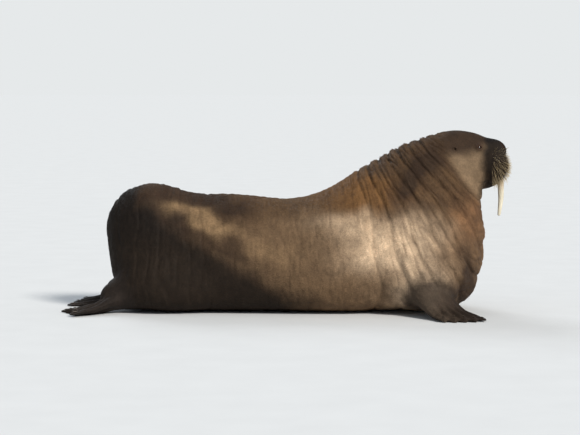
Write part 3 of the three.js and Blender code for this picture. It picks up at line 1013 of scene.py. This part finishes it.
def tusk(word, side, ivory):
    """A tusk with fine grooves, a blunt worn tip and closed ends."""
    closing = np.linspace(0, np.pi / 2, 10)[1:]
    t = np.concatenate([np.linspace(0, 1 - TUSK_TIP, 90), 1 - TUSK_TIP * np.cos(closing)])
    radius = TUSK_WIDTH / 2 * (1 - TUSK_TAPER * t**2.2)
    tip = np.sqrt(np.clip(1 - np.clip((t - (1 - TUSK_TIP)) / TUSK_TIP, 0, 1) ** 2, 0.0004, 1))
    points, faces = rods(tusk_curve(side, t)[None], (radius * tip)[None], TUSK_SIDES)
    turn = np.tile(np.arange(TUSK_SIDES) * 2 * np.pi / TUSK_SIDES, len(t))
    down = np.repeat(t, TUSK_SIDES)
    groove = 0.5 * np.sin(7 * turn + 2 * side) + 0.35 * np.sin(13 * turn + 3 * down)
    middle = np.repeat(tusk_curve(side, t), TUSK_SIDES, 0)
    out = GROOVE_DEPTH * groove * (1 - ramp(down, 0.8, 1))
    points += unit(points - middle) * out[:, None]
    stain = 1 - ramp(down + 0.12 * groove, 0.3, 0.6)
    tint = mix(IVORY, STAIN, (0.65 * stain)[:, None]) * (1 - 0.1 * np.abs(groove))[:, None]
    made = mesh_object(f"tusk_{word}_fine", points, faces, tint)
    dress(made, ivory)
    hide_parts(f"tusk_{word}")


PUPIL = linear(10, 8, 7)
IRIS = linear(66, 40, 24)
SCLERA = linear(118, 84, 68)
EYE_BULGE = 0.05
BULGE_EDGE = (0.3, 0.6)  # edges are angles off the look, in radians
PUPIL_EDGE = (0.24, 0.32)
IRIS_EDGE = (0.55, 0.66)
RIM_EDGE = (0.68, 0.8)


def eye(word, side, wet):
    """An eyeball whose clear front stands out a little."""
    at, look, level, up = eye_axes(side)
    rows, columns = 40, 64
    polar = np.linspace(0, np.pi, rows)[:, None]
    turn = (np.arange(columns) * 2 * np.pi / columns)[None]
    bulge = EYE_RADIUS * (1 + EYE_BULGE * (1 - ramp(polar, *BULGE_EDGE)))
    out = bulge * np.cos(polar) + 0 * turn
    across = bulge * np.sin(polar) * np.cos(turn)
    high = bulge * np.sin(polar) * np.sin(turn)
    points = at + out[..., None] * look + across[..., None] * level + high[..., None] * up
    quads = ring_quads(np.arange(rows * columns).reshape(rows, columns))
    angle = np.repeat(polar, columns, 0)
    tint = mix(PUPIL, IRIS, ramp(angle, *PUPIL_EDGE))
    tint = mix(tint, PUPIL, ramp(angle, *IRIS_EDGE))
    tint = mix(tint, SCLERA, ramp(angle, *RIM_EDGE))
    made = mesh_object(f"eye_{word}_fine", points.reshape(-1, 3), quads, tint)
    dress(made, wet)
    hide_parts(f"eye_{word}")


WHISKER_ROOT = linear(70, 52, 38)
WHISKER_TIP = linear(206, 184, 142)
WHISKER_RADII = (0.85, 1.3)
WHISKER_LENGTHS = (36, 92)  # in the middle, and out at the side
WHISKER_SIDES = 5
PAD_MIDDLE = (205, 62, -30)
GOLDEN_ANGLE = math.radians(137.508)  # it spreads points evenly round a pad


def whiskers(word, side, bristle):
    """Stiff whiskers all over a pad, longer to the side, drooping at their tips."""
    n = WHISKERS_A_SIDE
    i = np.arange(n)
    tilt = np.arccos(1 - 1.02 * (i + 0.5) / n)
    turn = i * GOLDEN_ANGLE
    out, lift = np.sin(tilt) * np.cos(turn), np.sin(tilt) * np.sin(turn)
    towards = np.stack([np.cos(tilt) + 0.1, side * (out * 0.85 + 0.42), lift * 0.9 - 0.22], 1)
    towards += rng.normal(0, 0.03, towards.shape)
    root, along = on_skin(sided(PAD_MIDDLE, side), towards, -COAT_DEPTH - 5)
    aside = ramp(out, -0.2, 0.9)
    long = (mix(*WHISKER_LENGTHS, aside) * rng.uniform(0.7, 1.15, n))[:, None]
    droop = direction((0.25, side * 0.12, -1)) + rng.normal(0, 0.12, (n, 3))
    middle = root + along * long * 0.55 + droop * long * 0.12
    tip = root + along * long * 0.85 + droop * long * mix(0.22, 0.5, aside)[:, None]
    t = np.linspace(0, 1, 9)
    curves = bezier(root, middle, tip, t)
    radii = rng.uniform(*WHISKER_RADII, n)[:, None] * (1 - 0.85 * t**1.5)[None]
    clear = standing_clear(curves) & (root[:, 2] < HEAD_AT[2] + PAD_TOP)
    points, faces = rods(curves[clear], radii[clear], WHISKER_SIDES)
    tint = mix(WHISKER_ROOT, WHISKER_TIP, ramp(t, 0.15, 0.85)[:, None])
    tint = np.tile(np.repeat(tint, WHISKER_SIDES, 0), (clear.sum(), 1))
    made = mesh_object(f"whiskers_{word}", points, faces, tint)
    dress(made, bristle)


def standing_clear(curves):
    """Which whiskers keep off the tusks and the lower jaw."""
    flat = curves.reshape(-1, 3)
    ok = mass_distance(LOWER_JAW, to_head(flat)) > 6
    for side in SIDES.values():
        for middle in tusk_curve(side, np.linspace(0, 1, 24)):
            ok &= length(flat - middle) > TUSK_WIDTH / 2 + 5
    return ok.reshape(curves.shape[:2]).all(1)


CLAW_STATIONS = ((0.9, 0.6), (0.935, 1.25), (0.965, 1.15))  # shares along, and heights


def claws(name, shape, horn):
    """A claw on each digit, lying nearly flat."""
    place = flipper_place(shape)
    across = (2 * np.arange(DIGITS) + 1) / DIGITS - 1
    ends = [
        place(np.full(DIGITS, share), across, np.full(DIGITS, over))
        for share, over in CLAW_STATIONS
    ]
    t = np.linspace(0, 1, 12)
    radii = shape[-1] * (1 - 0.92 * t**1.4)[None] * np.ones((DIGITS, 1))
    points, faces = rods(bezier(*ends, t), radii, sides=12, flat=0.8)
    dress(mesh_object(name, points, faces), horn)


# The coat: short tufts that lie back along the body
TUFTS = 182000
TUFT_LENGTH = 16
TUFT_WIDTH = 1.7
TUFT_THICK = 0.5
TUFT_LIFT = 1.6
TUFT_BEND = 0.12  # sideways, as a share of its length
TUFT_SUNK = 0.8
TUFT_PATCH = 0.003
MAP_MARGIN = 0.01
HAIR_FALL = 0.4  # how much the hair on the flanks points down
HAIR_SCATTER = 0.12
MIDDLE_DOWN = (1370, 1060)  # from the neck's pivot to the trunk's middle line, and the neck's
# How far along the body each stretch of the coat ends
STRETCHES = {"rump": -1200, "loins": -700, "back": -150, "shoulder": 350, "neck": 5000}


def lie_of_coat(points, normals, zone):
    """Which way the hair lies: back from the nose, down the flanks, and out along flippers."""
    x, y, z = points.T
    bend = np.arctan2(np.maximum(x - FOLD_PIVOT[0], 0), FOLD_PIVOT[1] - z)
    back = np.stack([-np.cos(bend), 0 * x, -np.sin(bend)], 1)
    back += (0, 0, -HAIR_FALL) * (1 - zone["head"])[:, None]
    nose = from_head((330, 0, 60))
    back = mix(back, unit(points - nose), zone["head"][:, None])
    outward = np.stack([-0.2 + 0 * x, np.sign(y), 0 * x], 1)
    back = mix(back, outward, zone["flipper"][:, None])
    back += astray(points, far=0.7, cell=90, octaves=2, salts=(91, 93, 97))
    back += rng.normal(0, HAIR_SCATTER, back.shape)
    return unit(back - normals * dot(back, normals)[:, None])


def scattered(points, quads, weight, count):
    """Places spread over quads by weight: the quad, and the shares along its two sides."""
    a, b, c, d = (points[quads[:, n]] for n in range(4))
    area = length(np.cross(c - a, d - b)) / 2
    share = np.cumsum(area * weight[quads].mean(1))
    at = np.searchsorted(share, rng.uniform(0, share[-1], count))
    return np.minimum(at, len(quads) - 1), rng.uniform(size=(count, 2))


def on_quads(values, quads, at, shares):
    """Values of the corners, mixed at each place."""
    a, b, c, d = (values[quads[at, n]] for n in range(4))
    u, v = (shares[:, n].reshape(-1, *[1] * (values.ndim - 1)) for n in range(2))
    return mix(mix(a, b, u), mix(d, c, u), v)


def round_middle(points):
    """The angle round the body's middle line: 0 at the back, 1 at the belly."""
    x, y, z = points.T
    ahead, under = x - FOLD_PIVOT[0], FOLD_PIVOT[1] - z
    down = np.where(ahead > 0, np.hypot(ahead, under), under)
    middle = mix(*MIDDLE_DOWN, np.clip(along_body(points) / 1000, 0, 1))
    return np.arctan2(np.abs(y), middle - down) / np.pi


def unwrapped(points, head):
    """Places on an unwrap, round the head's middle or round the body's middle line."""
    if head:
        own = to_head(points) - (60, 0, 0)
        u = np.arctan2(np.abs(own[:, 1]), own[:, 0]) / np.pi
        v = np.arctan2(own[:, 2], np.hypot(own[:, 0], own[:, 1])) / np.pi + 0.5
    else:
        s = along_body(points)
        u = (s - s.min()) / np.ptp(s)
        v = round_middle(points)
    return MAP_MARGIN + (1 - 2 * MAP_MARGIN) * np.stack([u, v], 1)


def tuft_mesh(name, root, normal, lie, size, colour, head, fur):
    """Three-sided tufts, sunk at the root, lifted a little, and pointed at both ends."""
    n = len(root)
    size = size[:, None]
    side = np.cross(normal, lie)
    lift = normal * TUFT_LIFT * rng.uniform(0.3, 1, (n, 1)) * size
    along = lie * TUFT_LENGTH * rng.uniform(0.7, 1.3, (n, 1)) * size
    bent = side * TUFT_LENGTH * TUFT_BEND * rng.normal(0, 1, (n, 1)) * size
    wide = side * TUFT_WIDTH / 2 * size
    middle = root + along * 0.4 + lift * 0.6 + bent * 0.25
    tip = root + along + lift + bent
    sunk = root - normal * TUFT_SUNK
    thick = normal * TUFT_THICK * size
    corners = np.stack([sunk, middle - wide, middle + wide, middle + thick, tip], 1)
    form = np.array([(2, 1, 0), (3, 2, 0), (1, 3, 0), (1, 2, 4), (2, 3, 4), (3, 1, 4)])
    count = corners.shape[1]
    faces = (np.arange(n)[:, None, None] * count + form).reshape(-1, 3)
    patch = np.array([(0, -1), (-1, -0.2), (1, -0.2), (0, -0.1), (0, 1)])
    places = unwrapped(root, head)[:, None] + patch * TUFT_PATCH / 2
    # Tufts are painted lighter than the markings on average, as painted light offsetting the shade
    # they fall in, and they vary at random
    tint = np.repeat(colour * rng.uniform(0.9, 1.4, (n, 1)), count, 0)
    made = mesh_object(name, corners.reshape(-1, 3), faces, tint, places.reshape(-1, 2), False)
    dress(made, fur)


def coat(points, quads, normals, zone, line, fur):
    """Tufts over the skin: finer on the face, and none on lids, flippers or underneath."""
    face = np.clip(zone["head"] + zone["flipper"], 0, 1)
    size = (1 - 0.62 * face) * (1 - 0.25 * zone["muzzle"])
    bare = np.clip(1.6 * zone["flipper"] - 0.3, 0, 1)
    bare = np.maximum(bare, 1 - ramp(points[:, 2], 12, 45))
    bare = np.maximum(bare, 1 - ramp(near_eyes(points), EYE_RADIUS + 8, EYE_RADIUS + 24))
    weight = (1 - bare) * (1 - 0.6 * line) / size**1.5
    at, shares = scattered(points, quads, weight, TUFTS)
    root, own_size = (on_quads(v, quads, at, shares) for v in (points, size))
    normal = unit(on_quads(normals, quads, at, shares))
    own_zone = {name: on_quads(v, quads, at, shares) for name, v in zone.items()}
    lie = lie_of_coat(root, normal, own_zone)
    colour = markings(root, own_zone, on_quads(line, quads, at, shares))
    head = own_zone["head"] > 0.5
    stretch = np.searchsorted(list(STRETCHES.values()), along_body(root))
    for word, side in SIDES.items():
        here = root[:, 1] * side > 0
        parts = {"head": here & head}
        parts.update({name: here & ~head & (stretch == i) for i, name in enumerate(STRETCHES)})
        for name, on in parts.items():
            made = (v[on] for v in (root, normal, lie, own_size, colour))
            tuft_mesh(f"coat_{name}_{word}", *made, name == "head", fur)


# The animal
points, quads, flipper = skin_mesh()
normals = normals_of(points, quads)
zone = zones(points, flipper)
depth, knob, line = relief(points, zone)
free = ramp(points[:, 2], 1, 30)
skin = points - normals * ((depth - knob.clip(0, COAT_DEPTH)) * free)[:, None]
hide = skin_material()
body = mesh_object("hide", skin, quads, markings(points, zone, line))
dress(body, hide)
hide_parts("hindquarters", "torso", "neck", "head", "muzzle", "lower_jaw", "tail")
for name in ("fore_flipper", "hind_flipper"):
    for word in SIDES:
        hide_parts(f"{name}_{word}")

coat(skin, quads, normals_of(skin, quads), zone, line, fur_material())

ivory, bristle, wet, horn = ivory_material(), whisker_material(), eye_material(), claw_material()
for word, side in SIDES.items():
    tusk(word, side, ivory)
    eye(word, side, wet)
    whiskers(word, side, bristle)
    for name in FLIPPERS:
        claws(f"claws_{name}_{word}", flipper_shape(name, side), horn)


# Floor, light and camera
FLOOR_SIZE = 400  # metres, so that its edge is never seen
FLOOR_COLOUR = (0.725, 0.735, 0.745, 1)
BACKDROP = (0.791, 0.815, 0.823, 1)


def floor():
    bpy.ops.mesh.primitive_plane_add(size=FLOOR_SIZE, location=(0, 0, 0))
    made = bpy.context.object
    made.name = "floor"
    pale, tree, shader = material("floor", roughness=0.9, gloss=0.0)
    shade = spread(tree, noise_node(tree, scale=3), 0.97, 1.0)
    base = add(tree, "ShaderNodeRGB")
    base.outputs[0].default_value = FLOOR_COLOUR
    tree.links.new(tinted(tree, base.outputs[0], shade), shader.inputs["Base Color"])
    made.data.materials.append(pale)


def sun(name, height, azimuth, strength, softness, colour):
    """A far light from a height and an azimuth, in degrees, with a soft edge."""
    data = bpy.data.lights.new(name, "SUN")
    data.energy = strength
    data.angle = math.radians(softness)
    data.color = colour
    up, round_z = math.radians(height), math.radians(azimuth)
    towards = (math.cos(up) * math.sin(round_z), -math.cos(up) * math.cos(round_z), math.sin(up))
    placed(name, data).rotation_euler = Vector(towards).to_track_quat("Z", "Y").to_euler()


def lights():
    sun("key", height=37, azimuth=38, strength=3.15, softness=14, colour=(1.0, 0.96, 0.89))
    sun("back", height=35, azimuth=205, strength=1.05, softness=30, colour=(0.92, 0.96, 1.0))
    world = bpy.data.worlds.new("studio")
    world.use_nodes = True
    tree = world.node_tree
    soft = tree.nodes["Background"]
    soft.inputs["Color"].default_value = (0.80, 0.88, 0.96, 1)
    soft.inputs["Strength"].default_value = 0.42
    shown = add(tree, "ShaderNodeBackground", {"Color": BACKDROP})
    seen = add(tree, "ShaderNodeLightPath").outputs["Is Camera Ray"]
    inputs = {"Fac": seen, 1: soft.outputs[0], 2: shown.outputs[0]}
    either = add(tree, "ShaderNodeMixShader", inputs)
    tree.links.new(either.outputs[0], tree.nodes["World Output"].inputs["Surface"])
    bpy.context.scene.world = world
    bpy.context.scene.view_settings.view_transform = "Standard"


VIEW_HEIGHT = 4.0  # degrees above level, from the horizon's height in the photo
VIEW_DISTANCE = 14.0
VIEW_SPAN = 4.15  # metres across the frame at the animal
VIEW_AIM = (-0.14, 0, 0.66)
SENSOR = 36


def camera():
    data = bpy.data.cameras.new("camera")
    data.sensor_width = SENSOR
    data.lens = SENSOR * VIEW_DISTANCE / VIEW_SPAN
    made = placed("camera", data)
    aim = Vector(VIEW_AIM)
    tilt = math.radians(VIEW_HEIGHT)
    made.location = aim + VIEW_DISTANCE * Vector((0, -math.cos(tilt), math.sin(tilt)))
    made.rotation_euler = (aim - made.location).to_track_quat("-Z", "Y").to_euler()
    bpy.context.scene.camera = made


floor()
lights()
camera()
